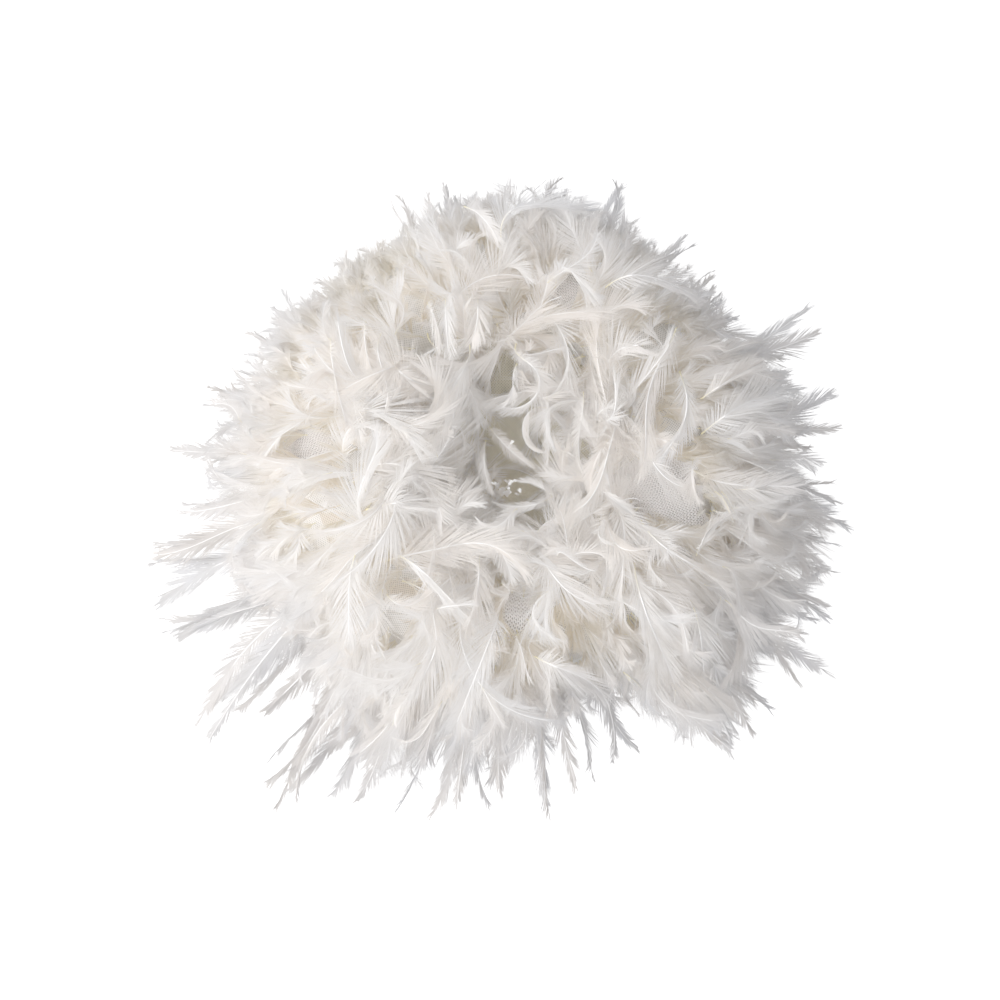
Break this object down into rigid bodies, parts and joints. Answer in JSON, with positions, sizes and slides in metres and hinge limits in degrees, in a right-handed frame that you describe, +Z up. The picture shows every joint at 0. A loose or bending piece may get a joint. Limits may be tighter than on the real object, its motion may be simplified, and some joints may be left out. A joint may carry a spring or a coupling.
{
  "type": "feather boa",
  "caption": "Soft feather boa made as a closed ring: tufts of long white feathers sewn all round a knitted net tube, with a neck hole in the middle.",
  "frame": {"origin": "centre of the outline seen from above, on the table that the ring lies on", "axes": "+Z up out of the table, through the neck hole; +X to the right and +Y away from the longest feathers"},
  "size_m": [0.4132, 0.388, 0.1012],
  "materials": {
    "feather": "soft matt",
    "net": "matt",
    "core": "matt",
    "binding": "satin",
    "thread": "satin"
  },
  "bodies": {
    "root": {"knit_tube": "net", "core_roll": "core", "core_lashing": "thread", "join_binding": "binding", "seam_thread": "thread", "stitch_cord_outer": "thread", "tuft_outer_01": "feather", "tuft_outer_02": "feather", "tuft_outer_03": "feather", "tuft_outer_04": "feather", "tuft_outer_05": "feather", "tuft_outer_06": "feather", "tuft_outer_07": "feather", "tuft_outer_08": "feather", "tuft_outer_09": "feather", "tuft_outer_10": "feather", "tuft_outer_11": "feather", "tuft_outer_12": "feather", "tuft_outer_13": "feather", "tuft_outer_14": "feather", "stitch_cord_upper": "thread", "tuft_upper_01": "feather", "tuft_upper_02": "feather", "tuft_upper_03": "feather", "tuft_upper_04": "feather", "tuft_upper_05": "feather", "tuft_upper_06": "feather", "tuft_upper_07": "feather", "tuft_upper_08": "feather", "tuft_upper_09": "feather", "tuft_upper_10": "feather", "tuft_upper_11": "feather", "tuft_upper_12": "feather", "tuft_upper_13": "feather", "tuft_upper_14": "feather", "stitch_cord_top": "thread", "tuft_top_01": "feather", "tuft_top_02": "feather", "tuft_top_03": "feather", "tuft_top_04": "feather", "tuft_top_05": "feather", "tuft_top_06": "feather", "tuft_top_07": "feather", "tuft_top_08": "feather", "tuft_top_09": "feather", "tuft_top_10": "feather", "tuft_top_11": "feather", "tuft_top_12": "feather", "stitch_cord_inner": "thread", "tuft_inner_01": "feather", "tuft_inner_02": "feather", "tuft_inner_03": "feather", "tuft_inner_04": "feather", "tuft_inner_05": "feather", "tuft_inner_06": "feather", "tuft_inner_07": "feather", "tuft_inner_08": "feather", "tuft_inner_09": "feather", "tuft_inner_10": "feather"}
  },
  "joints": []
}
